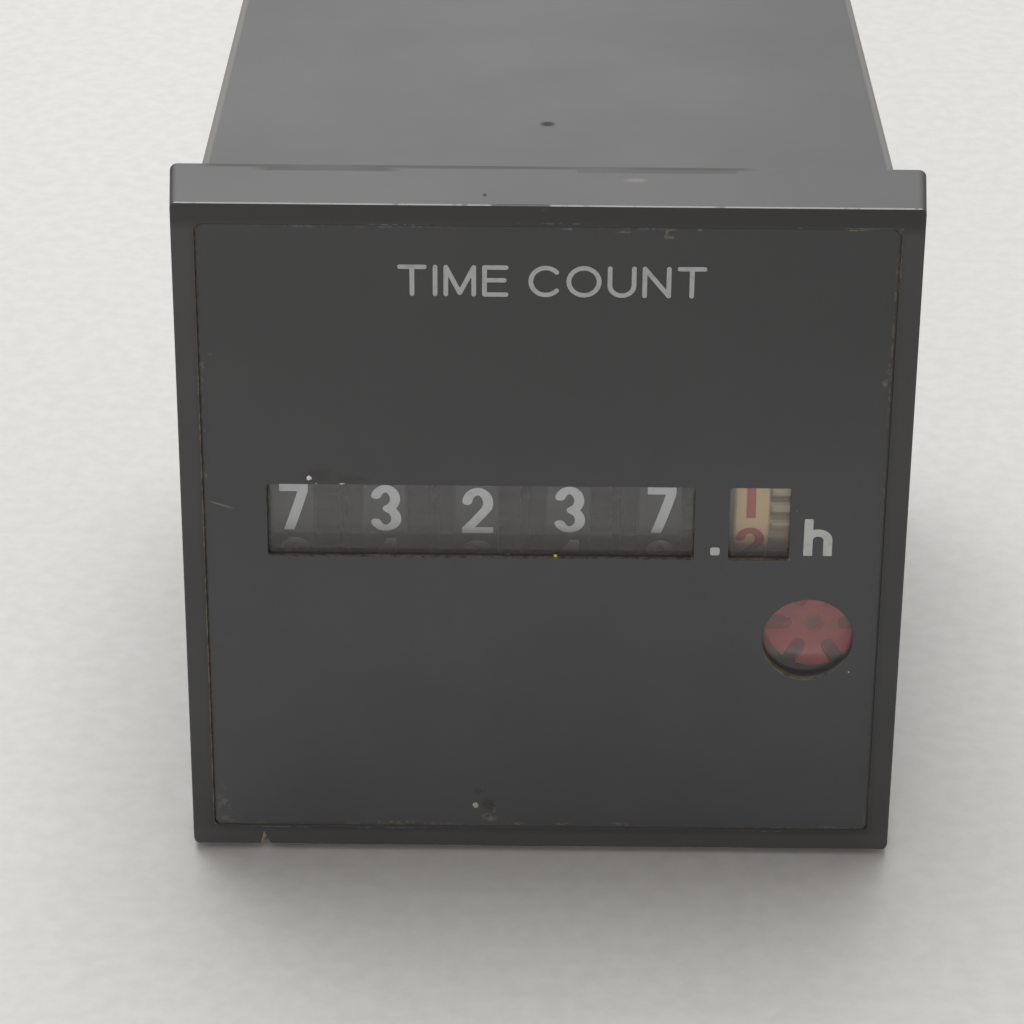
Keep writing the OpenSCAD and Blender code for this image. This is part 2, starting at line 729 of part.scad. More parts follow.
module gear_3() {
    color("#e8e6df")
        compound(gear_3_c, third_teeth, levels - 3, gear_2_dir + 180 / third_teeth, leaves, gear_3_dir + 180);
}

module gear_4() {
    color("#e8e6df")
        compound(gear_4_c, fourth_teeth, levels - 4, gear_3_dir + 180 / fourth_teeth,
            output_teeth, gear_4_dir + 180);
}

module worm_shaft() {
    color("silver") {
        rod_y(worm_c, behind_pane_y, worm_start_y + cut, journal_r);
        rod_y(worm_c, worm_start_y, level_y(0) + gear_w, worm_shaft_r);
    }
}

// Single-start helical thread, with its crest towards the wheel at the wheel axis
module worm() {
    root = worm_pitch_r - tooth_foot * worm_m;
    height = (tooth_head + tooth_foot) * worm_m;
    steps = 20;
    turns = worm_l / worm_pitch;
    start = 270 + 180 * turns;
    outline = [for (i = [0 : steps - 1]) polar(root + height * worm_rise(i * 360 / steps), i * 360 / steps)];
    color("#e8e6df") difference() {
        translate([worm_x, worm_start_y, worm_z]) mirror([0, 1, 0]) rotate([90, 0, 0])
            linear_extrude(worm_l, twist = 360 * turns, slices = ceil(turns * steps / 2), $fn = steps)
                rotate(start) polygon(outline);
        rod_y(worm_c, worm_start_y - cut, worm_start_y + worm_l + cut, worm_shaft_r + seat_clear);
    }
}

module worm_gear() {
    color("#e8e6df") difference() {
        gear_ring(worm_c, worm_gear_teeth, 0, gear_4_dir + 180 / worm_gear_teeth);
        rod_y(worm_c, level_y(0) - cut, level_y(0) + gear_w + cut, worm_shaft_r + seat_clear);
    }
}

module indicator() {
    color("#a8323a") difference() {
        union() {
            slab(behind_pane_y, indicator_t) translate(worm_c) circle(indicator_r);
            rod_y(worm_c, behind_pane_y, behind_pane_y + indicator_t + indicator_hub_l, indicator_hub_r);
        }
        rod_y(worm_c, behind_pane_y - cut, lug_y, journal_r + seat_clear);
        for (i = [0 : star_points - 1]) slab(behind_pane_y - cut, indicator_t + 2 * cut) translate(worm_c)
            rotate(i * 360 / star_points) {
                translate([notch_root_r + notch_r, 0]) circle(notch_r);
                translate([notch_root_r + notch_r, -notch_r]) square([indicator_r, 2 * notch_r]);
            }
    }
}

// Number band with chamfered edges, round the wheel axis
module band(w) {
    half = w / 2;
    rotate([0, 90, 0]) rotate_extrude() polygon([
        [0, -half], [wheel_r - band_edge, -half], [wheel_r, -half + band_edge],
        [wheel_r, half - band_edge], [wheel_r - band_edge, half], [0, half]
    ]);
}

// Carry disc with its two teeth, on the side of the next higher wheel
module carry(w) {
    side_slab(-w / 2 - carry_w, carry_w) {
        circle(carry_r);
        gear_outline(transfer_teeth, transfer_m, pinion_dir + 180, 2);
    }
}

module wheel_body(k, left, right, has_carry, has_gear) {
    translate([wheel_x(k), wheel_y, wheel_z]) difference() {
        union() {
            band(band_at(k));
            if (has_carry) carry(band_at(k));
            if (has_gear) side_slab(band_w / 2, transfer_w)
                gear_outline(transfer_teeth, transfer_m, pinion_dir + 180 / transfer_teeth, transfer_teeth);
            rod_x(0, 0, -left, right, hub_r);
            children();
        }
        rod_x(0, 0, -left - cut, right + cut, wheel_shaft_r + run_clear);
    }
}

module tenths_wheel() {
    reach = cheek_x - end_gap - wheel_x(0);
    color("#d9cfb4") wheel_body(0, (wheel_pitch - end_gap) / 2, reach, true, false)
        side_slab(tenths_band_w / 2, reach - tenths_band_w / 2)
            gear_outline(worm_wheel_teeth, worm_m, -90 + 180 / worm_wheel_teeth, worm_wheel_teeth);
}

module number_wheel(k) {
    half = (wheel_pitch - end_gap) / 2;
    left = k < number_wheels ? half : wheel_x(k) + cheek_x - end_gap;
    color("#2b2b2c") wheel_body(k, left, half, k < number_wheels, true);
}

module pinion(k) {
    x0 = wheel_x(k) + band_w / 2 + end_gap;
    x1 = wheel_x(k) + band_w / 2 + transfer_w + end_gap;
    x2 = wheel_x(k - 1) - band_at(k - 1) / 2 - carry_w - carry_gap;
    x3 = wheel_x(k - 1) - band_at(k - 1) / 2 - end_gap;
    color("#e8e6df") translate([0, pinion_y, pinion_z]) difference() {
        union() {
            side_slab(x0, x1 - x0) gear_outline(leaves, transfer_m, pinion_dir + 180, leaves);
            side_slab(x0, x2 - x0) long_leaves();
            rod_x(0, 0, x0, x3, collar_r);
        }
        rod_x(0, 0, x0 - cut, x3 + cut, pinion_shaft_r + run_clear);
    }
}

// Every second leaf of a transfer pinion
module long_leaves() {
    for (i = [1 : 2 : leaves - 1]) gear_outline(leaves, transfer_m, pinion_dir + 180 + i * 360 / leaves, 1);
}

housing();
front_plate();
window_pane();
rear_cover();
cover_screws();
terminals();
terminal_screws();
counter_frame();
wheel_shaft();
pinion_shaft();
gear_pins();
spacers();
movement_screws();
motor_plate();
motor_cup();
coil_bobbin();
coil_winding();
coil_leads();
rotor_magnet();
rotor_hub();
gear_1();
gear_2();
gear_3();
gear_4();
worm_shaft();
worm();
worm_gear();
indicator();
tenths_wheel();
number_wheel(1);  // number_wheel_1
number_wheel(2);  // number_wheel_2
number_wheel(3);  // number_wheel_3
number_wheel(4);  // number_wheel_4
number_wheel(5);  // number_wheel_5
pinion(1);  // pinion_1
pinion(2);  // pinion_2
pinion(3);  // pinion_3
pinion(4);  // pinion_4
pinion(5);  // pinion_5
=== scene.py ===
import json
import math

import bmesh
import bpy
import numpy as np
from mathutils import Matrix, Vector, noise


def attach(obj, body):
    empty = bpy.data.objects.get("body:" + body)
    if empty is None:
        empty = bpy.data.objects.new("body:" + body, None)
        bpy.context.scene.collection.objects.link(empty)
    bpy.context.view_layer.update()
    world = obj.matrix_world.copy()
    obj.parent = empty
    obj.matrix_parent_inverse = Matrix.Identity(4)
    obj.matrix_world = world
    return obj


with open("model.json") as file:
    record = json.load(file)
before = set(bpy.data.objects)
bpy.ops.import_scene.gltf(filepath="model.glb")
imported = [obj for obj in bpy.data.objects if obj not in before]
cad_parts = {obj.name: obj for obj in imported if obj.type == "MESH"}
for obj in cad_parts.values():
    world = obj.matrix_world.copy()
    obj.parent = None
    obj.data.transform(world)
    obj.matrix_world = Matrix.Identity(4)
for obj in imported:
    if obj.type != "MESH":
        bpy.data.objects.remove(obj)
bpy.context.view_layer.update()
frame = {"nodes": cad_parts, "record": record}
scene = bpy.context.scene
nodes = frame["nodes"]
MM = 0.001

# Places on the part in millimetres, the same as the solids
WHEEL_R = 6.6
WHEEL_Y, WHEEL_Z = 3.7, 0.93
WHEEL_X = [13.654 - 6.0317 * k for k in range(6)]
FRONT_Y, PLATE_Y = -5.3, -5.1
BEZEL_HALF, PLATE_HALF = 24.0, 22.01
SILL_Z = -1.45
HOLE_X, HOLE_Z, HOLE_R = 17.474, -7.325, 3.0
WORM_X, WORM_Z = 18.054, -7.245
# Heights over the printed face, from low to high
PLATE_LAYER, WHEEL_LAYER, GROOVE_LAYER = (-0.01, 0.012), (-0.012, 0.014), (-0.1, -0.05)
OUTLINE_SLACK = 0.006
# Degrees between the digits of a wheel
DIGIT_STEP = 36


def srgb(code):
    """A hex colour as linear RGBA."""
    parts = [int(code[i:i + 2], 16) / 255 for i in (1, 3, 5)]
    return [c / 12.92 if c <= 0.04045 else ((c + 0.055) / 1.055) ** 2.4 for c in parts] + [1.0]


class Shader:
    """One node material around a Principled shader, with its own object coordinates."""

    def __init__(self, name, roughness=0.5, metallic=0.0, specular=0.5):
        self.mat = bpy.data.materials.new(name)
        self.mat.use_nodes = True
        self.tree = self.mat.node_tree
        self.bsdf = self.tree.nodes["Principled BSDF"]
        self.out = self.tree.nodes["Material Output"]
        self.bsdf.inputs["Roughness"].default_value = roughness
        self.bsdf.inputs["Metallic"].default_value = metallic
        self.bsdf.inputs["Specular IOR Level"].default_value = specular
        place = self.tree.nodes.new("ShaderNodeTexCoord")
        self.coords, self.facing = place.outputs["Object"], place.outputs["Normal"]
        self._axes = None
        self._normal = None

    def link(self, value, socket):
        if hasattr(value, "is_output"):
            self.tree.links.new(value, socket)
        else:
            socket.default_value = value

    def math(self, op, a, b=0.0):
        n = self.tree.nodes.new("ShaderNodeMath")
        n.operation = op
        self.link(a, n.inputs[0])
        self.link(b, n.inputs[1])
        return n.outputs[0]

    def axes(self):
        """x, y and z of the point on the part, in millimetres."""
        if self._axes is None:
            n = self.tree.nodes.new("ShaderNodeSeparateXYZ")
            self.tree.links.new(self.coords, n.inputs[0])
            self._axes = [self.math("DIVIDE", n.outputs[i], MM) for i in range(3)]
        return self._axes

    def normal(self):
        """x, y and z of the surface's direction."""
        if self._normal is None:
            n = self.tree.nodes.new("ShaderNodeSeparateXYZ")
            self.tree.links.new(self.facing, n.inputs[0])
            self._normal = list(n.outputs)
        return self._normal

    def noise(self, size_mm, detail=3.0, roughness=0.55, stretch=None):
        """Noise from 0 to 1 whose features are about size_mm wide."""
        n = self.tree.nodes.new("ShaderNodeTexNoise")
        vector = self.coords
        if stretch:
            m = self.tree.nodes.new("ShaderNodeMapping")
            m.inputs["Scale"].default_value = stretch
            self.tree.links.new(vector, m.inputs["Vector"])
            vector = m.outputs["Vector"]
        self.tree.links.new(vector, n.inputs["Vector"])
        n.inputs["Scale"].default_value = 1 / (size_mm * MM)
        n.inputs["Detail"].default_value = detail
        n.inputs["Roughness"].default_value = roughness
        return n.outputs[0]

    def step(self, value, low, high):
        """0 below low, 1 above high and smooth between; reversed if low is above high."""
        n = self.tree.nodes.new("ShaderNodeMapRange")
        n.interpolation_type = "SMOOTHSTEP"
        self.link(value, n.inputs["Value"])
        flip = low > high
        n.inputs["From Min"].default_value = min(low, high)
        n.inputs["From Max"].default_value = max(low, high)
        n.inputs["To Min"].default_value = 1.0 if flip else 0.0
        n.inputs["To Max"].default_value = 0.0 if flip else 1.0
        return n.outputs["Result"]

    def times(self, *values):
        total = values[0]
        for v in values[1:]:
            total = self.math("MULTIPLY", total, v)
        return total

    def either(self, *values):
        total = values[0]
        for v in values[1:]:
            total = self.math("MAXIMUM", total, v)
        return total

    def band(self, value, low, high, soft):
        """1 between low and high, fading out over soft."""
        return self.times(self.step(value, low - soft, low), self.step(value, high + soft, high))

    def distance(self, a, b, at, size=(1.0, 1.0)):
        """Distance from a place on two axes, each in units of its size."""
        u = self.math("DIVIDE", self.math("SUBTRACT", a, at[0]), size[0])
        v = self.math("DIVIDE", self.math("SUBTRACT", b, at[1]), size[1])
        return self.math("SQRT", self.math("ADD", self.times(u, u), self.times(v, v)))

    def spot(self, a, b, at, size, soft=0.5):
        """1 inside an oval at a place on two axes, fading out round its edge."""
        return self.step(self.distance(a, b, at, size), 1 + soft, 1 - soft)

    def marks(self, a, b, places):
        """1 inside any of the ovals, each given by its place and its size on two axes."""
        return self.either(*[self.spot(a, b, at, size) for at, size in places])

    def mix(self, factor, a, b):
        n = self.tree.nodes.new("ShaderNodeMix")
        n.data_type = "RGBA"
        self.link(factor, n.inputs[0])
        self.link(a, n.inputs[6])
        self.link(b, n.inputs[7])
        return n.outputs[2]

    def blend(self, factor, a, b):
        n = self.tree.nodes.new("ShaderNodeMix")
        self.link(factor, n.inputs[0])
        self.link(a, n.inputs[2])
        self.link(b, n.inputs[3])
        return n.outputs[0]

    def colour(self, value):
        self.link(value, self.bsdf.inputs["Base Color"])

    def rough(self, value):
        self.link(value, self.bsdf.inputs["Roughness"])

    def bump(self, height, depth_mm):
        n = self.tree.nodes.new("ShaderNodeBump")
        n.inputs["Distance"].default_value = depth_mm * MM
        self.link(height, n.inputs["Height"])
        self.tree.links.new(n.outputs["Normal"], self.bsdf.inputs["Normal"])


def plastic(name, dark, light, roughness, grain_mm=0.12, grain_depth=0.004, cloud_mm=9.0):
    """Moulded plastic: cloudy colour, fine grain and uneven gloss."""
    s = Shader(name, roughness)
    s.colour(s.mix(s.step(s.noise(cloud_mm, 4.0), 0.3, 0.7), srgb(dark), srgb(light)))
    s.rough(s.blend(s.noise(cloud_mm / 3), roughness - 0.08, roughness + 0.1))
    s.bump(s.noise(grain_mm, 2.0), grain_depth)
    return s


def metal(name, dark, light, roughness, stretch, grain_mm=0.5):
    """Metal with a drawn or turned grain and a little tarnish."""
    s = Shader(name, roughness, metallic=1.0)
    streak = s.noise(grain_mm, 3.0, stretch=stretch)
    s.colour(s.mix(s.step(s.noise(4.0), 0.35, 0.75), srgb(light), srgb(dark)))
    s.rough(s.blend(streak, roughness - 0.1, roughness + 0.14))
    s.bump(streak, 0.003)
    return s


def case_material():
    s = Shader("case_satin", 0.45)
    x, y, z = s.axes()
    nx, ny, nz = s.normal()
    reach = s.either(s.math("ABSOLUTE", x), s.math("ABSOLUTE", z))
    front = s.step(ny, -0.7, -0.9)
    base = s.mix(s.step(s.noise(11.0, 5.0), 0.3, 0.72), srgb("#2d2d2f"), srgb("#343436"))
    # Rim, painted light and shade: painted shade darkens it at the top and next to the plate, it is painted paler
    # below, and a painted highlight runs along its outer sides
    base = s.mix(s.times(front, s.step(z, 21.5, 22.5), 0.95), base, srgb("#141415"))
    base = s.mix(s.times(front, s.step(z, -22.0, -22.6), 0.6), base, srgb("#3b3b3c"))
    base = s.mix(s.times(front, s.step(s.math("ABSOLUTE", x), 23.4, 23.85), 0.7), base, srgb("#4a4a4a"))
    base = s.mix(s.times(front, s.step(reach, PLATE_HALF + 0.6, PLATE_HALF + 0.15), 0.4), base, srgb("#1c1c1c"))
    # Faces that look up painted paler, partly a grey bloom and partly a painted sheen, less on the bezel and towards
    # the right; the long edges of the body painted pale as a painted highlight
    up = s.step(nz, 0.6, 0.95)
    bloom_and_sheen = s.times(up, s.blend(s.noise(16.0, 4.0, 0.6), 0.58, 0.88), s.blend(s.step(y, -0.2, 0.2), 0.8, 1.0))
    base = s.mix(s.times(bloom_and_sheen, s.blend(s.step(x, 3.0, 20.0), 1.0, 0.86)), base, srgb("#7f8182"))
    # Painted highlight on the long rounded edges of the body
    edge = s.times(s.step(s.math("ABSOLUTE", nx), 0.15, 0.4), s.step(nz, 0.05, 0.3), s.step(y, 0.0, 0.3))
    base = s.mix(s.times(edge, 0.75), base, srgb("#999895"))
    # Dark stain along the bezel's top, next to the body
    line = s.times(s.band(y, -0.3, 0.3, 0.2), s.band(x, -21.0, 12.0, 1.5))
    lengths = s.either(s.band(x, -17.5, -10.5, 1.5), s.times(s.band(x, 2.0, 11.8, 0.3), 0.7))
    patch = s.times(s.band(y, -0.7, 0.3, 0.3), lengths)
    streaks = s.blend(s.step(s.noise(3.0, 3.0, 0.6, stretch=(0.25, 1, 1)), 0.35, 0.6), 0.5, 1.0)
    base = s.mix(s.times(s.either(line, patch), streaks, up, 0.62), base, srgb("#2e2d2b"))
    base = s.mix(s.times(s.spot(x, y, (5.5, -1.8), (0.6, 0.25), 0.7), up, 0.32), base, srgb("#a9a294"))
    # Small pit on the body's top and a speck on the bezel's top
    pit = s.times(s.spot(x, y, (0.0, 11.45), (0.45, 0.42), 0.5), s.step(s.noise(0.5, 3.0), 0.15, 0.4))
    pit = s.times(s.either(pit, s.spot(x, y, (-3.95, -4.0), (0.14, 0.2), 0.4)), up)
    base = s.mix(s.times(pit, 0.92), base, srgb("#161513"))
    # Top front edge painted bright: a painted highlight with some rubbed wear, broken up, and dull in one stretch
    rub_and_highlight = s.times(s.step(nz, 0.45, 0.6), s.step(ny, -0.45, -0.6), s.step(y, 0.0, -1.0))
    whole = s.blend(s.step(s.noise(1.1, 3.0, 0.6), 0.3, 0.44), 0.45, 1.0)
    dull = s.times(s.band(x, -3.4, 0.0, 0.3), 0.75)
    base = s.mix(s.times(rub_and_highlight, whole, s.math("SUBTRACT", 1.0, dull)), base, srgb("#b2b7b8"))
    # Dust in the groove round the plate and in streaks on the top rim
    grains = s.step(s.noise(0.5, 3.0), 0.42, 0.6)
    groove = s.times(s.band(reach, PLATE_HALF - 0.02, PLATE_HALF + 0.16, 0.05), s.step(y, -4.9, -5.1))
    low_left = s.either(s.times(s.step(x, -21.0, -21.6), s.step(z, 15.0, 13.0)), s.step(s.noise(6.0), 0.5, 0.64))
    streak = s.times(front, s.marks(x, z, (
        ((-1.69, 22.33), (0.3, 0.06)), ((0.8, 22.31), (1.2, 0.07)), ((-0.15, 23.25), (0.2, 0.12)),
    )))
    dust = s.times(s.either(s.times(groove, low_left), streak), grains)
    base = s.mix(s.times(dust, 0.65), base, srgb("#63584b"))
    # Raw plastic in the chipped spot
    chip = s.times(s.band(x, -19.2, -18.1, 0.03), s.step(z, -22.4, -22.5), s.step(y, -4.0, -4.2))
    chip = s.times(chip, s.step(s.math("ABSOLUTE", nx), 0.3, 0.5))
    base = s.mix(s.times(chip, 0.95), base, srgb("#cfc6bb"))
    s.colour(base)
    s.rough(s.blend(s.noise(3.5), 0.42, 0.54))
    s.bump(s.either(s.noise(0.16, 2.0), s.times(s.noise(0.9), 0.9)), 0.005)
    return s


PLATE_DUST = (
    ((1.25, 21.88), (0.35, 0.08)), ((4.78, 21.72), (0.6, 0.07)), ((7.45, 21.6), (0.18, 0.32)),
    ((7.8, 21.35), (0.3, 0.1)), ((7.75, 21.88), (0.35, 0.08)), ((9.5, 21.9), (0.14, 0.1)),
    ((19.0, 21.97), (1.0, 0.05)), ((21.7, 12.7), (0.28, 0.14)), ((21.8, 12.05), (0.18, 0.35)),
    ((21.6, 11.5), (0.16, 0.3)), ((-21.39, 13.02), (0.14, 0.13)), ((-21.85, 12.3), (0.1, 0.25)),
    ((-21.9, 7.4), (0.08, 0.4)), ((-21.35, 5.54), (0.12, 0.16)), ((-21.9, 4.4), (0.1, 0.3)),
    ((-1.7, -21.87), (0.55, 0.1)), ((1.55, -21.85), (0.5, 0.1)), ((5.05, -21.82), (1.1, 0.1)),
    ((10.5, -21.86), (0.5, 0.08)), ((-9.8, -21.8), (1.8, 0.12)), ((-3.12, -20.8), (0.13, 0.5)),
    ((-3.5, -21.4), (0.5, 0.3)),
)


def plate_material():
    s = Shader("plate_matt", 0.5)
    x, y, z = s.axes()
    _, ny, nz = s.normal()
    front = s.step(ny, -0.7, -0.9)
    reach = s.either(s.math("ABSOLUTE", x), s.math("ABSOLUTE", z))
    base = s.mix(s.step(s.noise(13.0, 5.0, 0.6), 0.28, 0.74), srgb("#36373a"), srgb("#3c3d40"))
    # Painted shade: the plate painted darker towards its top, evening out the light on it
    base = s.mix(s.times(s.step(z, -8.0, 20.0), 0.85), base, srgb("#28292b"))
    # Dust caught along the edges, in patches, and most in one corner
    grains = s.step(s.noise(0.45, 4.0, 0.65), 0.44, 0.6)
    rim = s.times(s.step(reach, PLATE_HALF - 0.3, PLATE_HALF), s.step(s.noise(7.0), 0.48, 0.64))
    right = s.times(s.band(x, PLATE_HALF - 0.12, PLATE_HALF, 0.05), s.band(z, 9.0, 19.5, 1.0))
    corner = s.marks(x, z, (((-21.5, -20.7), (0.4, 1.5)), ((-21.2, -21.6), (0.8, 0.4))))
    dust = s.times(s.either(s.times(s.either(rim, right, corner), 0.6), s.marks(x, z, PLATE_DUST)), grains)
    # Dust lying on the sills of the windows and round the lower edge of the round one
    fine = s.step(s.noise(0.5, 4.0, 0.6), 0.3, 0.62)
    sill = s.times(s.step(nz, 0.3, 0.7), fine, s.band(y, PLATE_Y - 0.05, PLATE_Y + 0.3, 0.12), s.step(z, 2.0, 1.0))
    from_hole = s.distance(x, z, (HOLE_X, HOLE_Z))
    ring = s.band(from_hole, HOLE_R - 0.1, HOLE_R + 0.05, 0.06)
    lip = s.times(ring, s.step(z, -7.6, -9.0), s.step(x, 18.6, 17.0), fine)
    base = s.mix(s.times(s.either(dust, lip), 0.6), base, srgb("#706558"))
    base = s.mix(s.times(sill, 0.7), base, srgb("#938778"))
    # Dark greasy marks, a light scratch and faint specks
    grime = s.times(s.marks(x, z, (
        ((-14.2, 4.5), (1.2, 0.45)), ((-12.4, 4.2), (0.9, 0.25)),
        ((-3.5, -20.3), (0.5, 0.5)), ((-4.1, -19.1), (0.4, 0.4)),
    )), s.step(s.noise(0.6, 4.0, 0.6), 0.38, 0.55), front)
    base = s.mix(s.times(grime, 0.7), base, srgb("#272625"))
    lean = s.math("ADD", z, s.math("MULTIPLY", x, 0.33))
    scratch = s.times(s.spot(x, lean, (-21.0, -4.63), (0.75, 0.07)), front)
    speck = s.times(s.step(s.noise(0.3, 2.0), 0.72, 0.78), s.step(s.noise(9.0, 2.0), 0.5, 0.7))
    base = s.mix(s.times(s.either(scratch, speck), 0.4), base, srgb("#80796e"))
    s.colour(base)
    s.rough(s.blend(s.noise(4.0, 4.0), 0.44, 0.58))
    s.bump(s.noise(0.14, 2.0), 0.004)
    return s


def pane_material():
    """Clear acrylic: see-through, with a thin reflection on both faces and a film of dust, thicker low in the windows,
    where painted shade also darkens the view; a painted red haze lies over the indicator.
    """
    s = Shader("pane_clear")
    tree = s.tree
    glossy = tree.nodes.new("ShaderNodeBsdfGlossy")
    glossy.inputs["Color"].default_value = (1, 1, 1, 1)
    glossy.inputs["Roughness"].default_value = 0.06
    clear = tree.nodes.new("ShaderNodeBsdfTransparent")
    x, _, z = s.axes()
    # Painted shade: the see-through colour darkened low in the windows, half as much over the tenths
    dirt = s.times(s.band(z, -3.0, -0.5, 0.12), s.blend(s.step(x, 10.8, 11.6), 1.0, 0.5))
    s.link(s.mix(dirt, (0.93, 0.94, 0.94, 1), (0.7, 0.69, 0.67, 1)), clear.inputs["Color"])
    # Painted red haze over the indicator, standing in for the reflected haze on its upper part; none at its foot
    red_haze = s.times(s.spot(x, z, (HOLE_X, HOLE_Z), (3.3, 3.3), 0.05), s.step(z, -9.2, -8.0))
    film = tree.nodes.new("ShaderNodeBsdfDiffuse")
    s.link(s.mix(red_haze, (0.5, 0.49, 0.47, 1), (0.3, 0.147, 0.147, 1)), film.inputs["Color"])
    facing = s.math("SUBTRACT", 1.0, tree.nodes.new("ShaderNodeNewGeometry").outputs["Backfacing"])
    fresnel = tree.nodes.new("ShaderNodeFresnel")
    fresnel.inputs["IOR"].default_value = 1.49
    low = s.times(s.band(z, -3.0, -1.1, 0.1), 0.04)
    haze = s.math("ADD", s.blend(s.noise(1.6, 4.0, 0.6), 0.06, 0.105), low)
    haze = s.times(s.blend(red_haze, haze, 0.42), facing)
    dusty = tree.nodes.new("ShaderNodeMixShader")
    tree.links.new(haze, dusty.inputs[0])
    tree.links.new(clear.outputs[0], dusty.inputs[1])
    tree.links.new(film.outputs[0], dusty.inputs[2])
    shiny = tree.nodes.new("ShaderNodeMixShader")
    tree.links.new(fresnel.outputs[0], shiny.inputs[0])
    tree.links.new(dusty.outputs[0], shiny.inputs[1])
    tree.links.new(glossy.outputs[0], shiny.inputs[2])
    tree.links.new(shiny.outputs[0], s.out.inputs["Surface"])
    tree.nodes.remove(s.bsdf)
    return s


def wheel_material():
    """Black number wheels, darkest inside their bands: painted shade on all but the band faces."""
    s = Shader("wheel_black", 0.55)
    _, y, z = s.axes()
    out = s.distance(y, z, (WHEEL_Y, WHEEL_Z))
    band = s.mix(s.step(s.noise(2.5, 4.0), 0.3, 0.7), srgb("#202121"), srgb("#292a2a"))
    # Painted shade: everything inside the band faces nearly black and with little shine
    rim = s.step(out, 6.4, 6.5)
    s.colour(s.mix(rim, srgb("#0c0c0c"), band))
    s.link(s.blend(rim, 0.05, 0.4), s.bsdf.inputs["Specular IOR Level"])
    s.rough(s.blend(s.noise(0.8), 0.5, 0.65))
    s.bump(s.noise(0.12, 2.0), 0.004)
    return s


def tenths_material():
    s = Shader("tenths_cream", 0.5)
    x, y, z = s.axes()
    base = s.mix(s.step(s.noise(3.0, 4.0), 0.3, 0.7), srgb("#e2c597"), srgb("#d9ba8c"))
    out = s.distance(y, z, (WHEEL_Y, WHEEL_Z))
    # Painted light and shade on the teeth: roots painted paler and tips darker, evening out their shading
    teeth_painted_shading = s.mix(s.step(out, 5.6, 6.3), srgb("#c9b697"), srgb("#a59379"))
    base = s.mix(s.step(x, 14.8, 14.9), base, teeth_painted_shading)
    # Painted light: the carry disc left of the band painted near white, lifting its shade
    base = s.mix(s.step(x, 12.5, 12.46), base, srgb("#fff0d2"))
    s.colour(base)
    s.rough(s.blend(s.noise(1.5), 0.42, 0.58))
    s.bump(s.noise(0.15, 2.0), 0.003)
    return s


def indicator_material():
    s = Shader("indicator_red", 0.45)
    base = s.mix(s.step(s.noise(1.6, 4.0), 0.3, 0.7), srgb("#b8343c"), srgb("#a02a33"))
    dusty = s.step(s.noise(0.7, 4.0, 0.65), 0.5, 0.7)
    s.colour(s.mix(s.times(dusty, 0.3), base, srgb("#9a7570")))
    s.rough(s.blend(s.noise(0.8), 0.38, 0.6))
    s.bump(s.noise(0.2, 2.0), 0.004)
    return s


def shaft_material():
    """Ground steel, blackened in the middle of the front end that shows."""
    s = Shader("shaft_steel", 0.3, metallic=1.0)
    x, y, z = s.axes()
    grain = s.noise(0.25, 3.0, stretch=(1, 0.1, 1))
    bright = s.mix(s.step(s.noise(3.0), 0.4, 0.7), srgb("#c9cacb"), srgb("#b2b4b6"))
    out = s.distance(x, z, (WORM_X, WORM_Z))
    end = s.step(y, -2.2, -2.6)
    s.colour(s.mix(end, bright, s.mix(s.step(out, 0.42, 0.54), srgb("#1f1d1d"), srgb("#8a2f35"))))
    s.link(s.math("SUBTRACT", 1.0, end), s.bsdf.inputs["Metallic"])
    s.rough(s.blend(grain, 0.22, 0.42))
    s.bump(grain, 0.002)
    return s


MATERIALS = {
    "case_plastic": case_material(),
    "plate_plastic": plate_material(),
    "clear_pane": pane_material(),
    "zinc_steel": metal("zinc_steel", "#9a9fa3", "#c3c7c9", 0.36, (1, 0.12, 1)),
    "shaft_steel": shaft_material(),
    "brass": metal("brass_rolled", "#8f6c2c", "#c59a4b", 0.34, (1, 1, 0.12)),
    "bobbin_plastic": plastic("bobbin_ivory", "#cfc8b2", "#dcd6c4", 0.45),
    "copper_wire": metal("copper_wire", "#7c3a1d", "#b0592e", 0.4, (0.2, 6, 0.2), grain_mm=0.2),
    "lead_sleeve": plastic("lead_red", "#9a2a24", "#b0352d", 0.45, cloud_mm=3.0),
    "magnet": plastic("magnet_ferrite", "#3a3735", "#48443f", 0.6, grain_mm=0.08, grain_depth=0.01),
    "gear_plastic": plastic("gear_acetal", "#e2dfd4", "#ece9e0", 0.4, cloud_mm=4.0),
    "indicator_red": indicator_material(),
    "wheel_cream": tenths_material(),
    "wheel_black": wheel_material(),
}
for part in frame["record"]["subparts"]:
    mesh = nodes[part["node"]].data
    mesh.materials.clear()
    mesh.materials.append(MATERIALS[part["material_slot"]].mat)


def paint(name, code, rubbed):
    """Printed ink, thin and a little rubbed."""
    s = Shader(name)
    s.colour(s.mix(s.step(s.noise(0.5, 4.0, 0.6), 0.45, 0.75), srgb(code), srgb(rubbed)))
    s.rough(s.blend(s.noise(0.3), 0.4, 0.6))
    s.bump(s.noise(0.1, 2.0), 0.002)
    return s.mat


WHITE_INK = paint("ink_white", "#dadcdd", "#c9cbcc")
LABEL_INK = paint("ink_label", "#a8aaab", "#999b9c")
TITLE_INK = paint("ink_title", "#9b9d9e", "#8d8f90")
RED_INK = paint("ink_red", "#bd3a3b", "#ae4444")


def add_mesh(name, bm, material, body):
    bmesh.ops.recalc_face_normals(bm, faces=bm.faces)
    mesh = bpy.data.meshes.new(name)
    bm.to_mesh(mesh)
    bm.free()
    mesh.materials.append(material)
    obj = bpy.data.objects.new(name, mesh)
    scene.collection.objects.link(obj)
    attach(obj, body)


def arc(cx, cz, rx, rz, start, end):
    """Points along an ellipse, with angles in degrees up from the right."""
    angles = np.radians(np.linspace(start, end, 2 + int(abs(end - start) / 10)))
    return [(cx + rx * math.cos(a), cz + rz * math.sin(a)) for a in angles]


